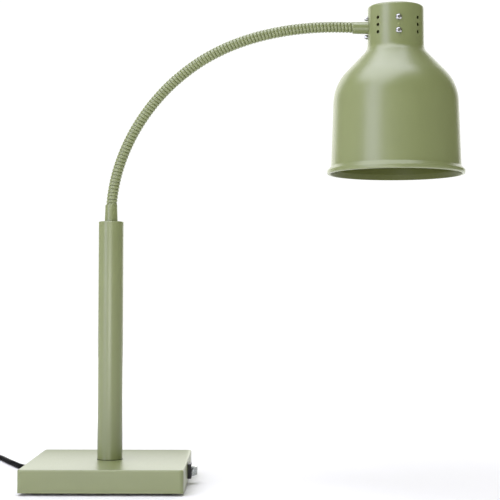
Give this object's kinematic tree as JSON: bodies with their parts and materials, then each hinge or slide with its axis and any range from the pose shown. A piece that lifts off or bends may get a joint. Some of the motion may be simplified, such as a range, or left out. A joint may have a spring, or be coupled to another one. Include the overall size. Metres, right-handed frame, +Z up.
{
  "type": "heat lamp warmer",
  "caption": "Free-standing food heat lamp: weighted box base with side rocker switch, pole, bendable gooseneck and a spun bell hood holding a screw-cap infrared reflector lamp.",
  "frame": {"origin": "on the floor, below the middle of the appliance's outline from the base's left side to the hood's right side; the cord is not counted", "axes": "+Z up, +X from the pole towards the hood, +Y to the rear where the cord leaves"},
  "size_m": [0.7548, 0.4816, 0.6155],
  "materials": {
    "green": "satin powder coat",
    "steel": "bare steel",
    "zinc": "bright zinc plate",
    "rubber": "matt moulded rubber",
    "black_plastic": "moulded, fine texture",
    "rocker_plastic": "gloss",
    "boot_clear": "clear flexible PVC",
    "white_plastic": "moulded",
    "ceramic": null,
    "brass": "bright brass",
    "alu": "bright",
    "glass": "reflector lamp glass",
    "pvc": "smooth PVC sheath",
    "wire": "PVC insulation"
  },
  "bodies": {
    "base": {"base_cover": "green", "bottom_plate": "steel", "ballast_plate": "steel", "bottom_plate_screws": "zinc", "rubber_feet": "rubber", "foot_screws": "zinc", "pole_tube": "green", "pole_base_plug": "steel", "pole_nut": "zinc", "pole_top_plug": "green", "lower_ferrule": "green", "pole_lead": "pvc", "terminal_block": "white_plastic", "earth_stud": "zinc", "switch_terminals": "brass", "base_leads": "wire", "inlet_lead": "pvc", "switch_frame": "black_plastic", "switch_housing": "black_plastic", "rocker_boot": "boot_clear", "strain_relief": "rubber", "mains_cord": "pvc", "mains_cord_coil": "pvc", "mains_cord_tail": "pvc", "cord_tie": "black_plastic", "plug_body": "rubber", "plug_pins": "zinc"},
    "rocker": {"rocker": "rocker_plastic"},
    "link_01": {"gooseneck_link_01": "green", "gooseneck_lead_01": "pvc"},
    "link_02": {"gooseneck_link_02": "green", "gooseneck_lead_02": "pvc"},
    "link_03": {"gooseneck_link_03": "green", "gooseneck_lead_03": "pvc"},
    "link_04": {"gooseneck_link_04": "green", "gooseneck_lead_04": "pvc"},
    "link_05": {"gooseneck_link_05": "green", "gooseneck_lead_05": "pvc"},
    "link_06": {"gooseneck_link_06": "green", "gooseneck_lead_06": "pvc"},
    "link_07": {"gooseneck_link_07": "green", "gooseneck_lead_07": "pvc"},
    "link_08": {"gooseneck_link_08": "green", "gooseneck_lead_08": "pvc"},
    "head": {"upper_ferrule": "green", "hood": "green", "arm_bracket": "steel", "arm_screws": "zinc", "socket_bracket": "steel", "bracket_screws": "zinc", "bracket_nuts": "zinc", "holder_screws": "zinc", "lampholder_body": "ceramic", "lampholder_shell": "brass", "lampholder_contact": "brass", "lamp_cap": "alu", "lamp_glass": "glass", "lamp_stem": "glass", "lamp_filament": "steel", "head_leads": "wire"}
  },
  "joints": [
    {"name": "gooseneck_side_bend", "type": "hinge", "parent": "base", "child": "link_01", "pos_m": [-0.1777, 0, 0.3591], "axis": [1, 0, 0], "range_deg": [-15, 15]},
    {"name": "gooseneck_bend_1", "type": "hinge", "parent": "link_01", "child": "link_02", "pos_m": [-0.1671, 0, 0.4102], "axis": [0, 1, 0], "range_deg": [-12, 6]},
    {"name": "gooseneck_bend_2", "type": "hinge", "parent": "link_02", "child": "link_03", "pos_m": [-0.1448, 0, 0.4592], "axis": [0, 1, 0], "range_deg": [-12, 6]},
    {"name": "gooseneck_bend_3", "type": "hinge", "parent": "link_03", "child": "link_04", "pos_m": [-0.1126, 0, 0.5023], "axis": [0, 1, 0], "range_deg": [-12, 6]},
    {"name": "gooseneck_bend_4", "type": "hinge", "parent": "link_04", "child": "link_05", "pos_m": [-0.0722, 0, 0.5378], "axis": [0, 1, 0], "range_deg": [-12, 6]},
    {"name": "gooseneck_bend_5", "type": "hinge", "parent": "link_05", "child": "link_06", "pos_m": [-0.0251, 0, 0.5638], "axis": [0, 1, 0], "range_deg": [-12, 6]},
    {"name": "gooseneck_bend_6", "type": "hinge", "parent": "link_06", "child": "link_07", "pos_m": [0.0263, 0, 0.58], "axis": [0, 1, 0], "range_deg": [-12, 6]},
    {"name": "gooseneck_bend_7", "type": "hinge", "parent": "link_07", "child": "link_08", "pos_m": [0.079, 0, 0.5874], "axis": [0, 1, 0], "range_deg": [-12, 6]},
    {"name": "hood_swivel", "type": "hinge", "parent": "link_08", "child": "head", "pos_m": [0.1318, 0, 0.5882], "axis": [0, 0, 1], "range_deg": [-15, 15]},
    {"name": "rocker_tilt", "type": "hinge", "parent": "base", "child": "rocker", "pos_m": [-0.0748, 0, 0.0166], "axis": [0, -1, 0], "range_deg": [0, 24]}
  ]
}
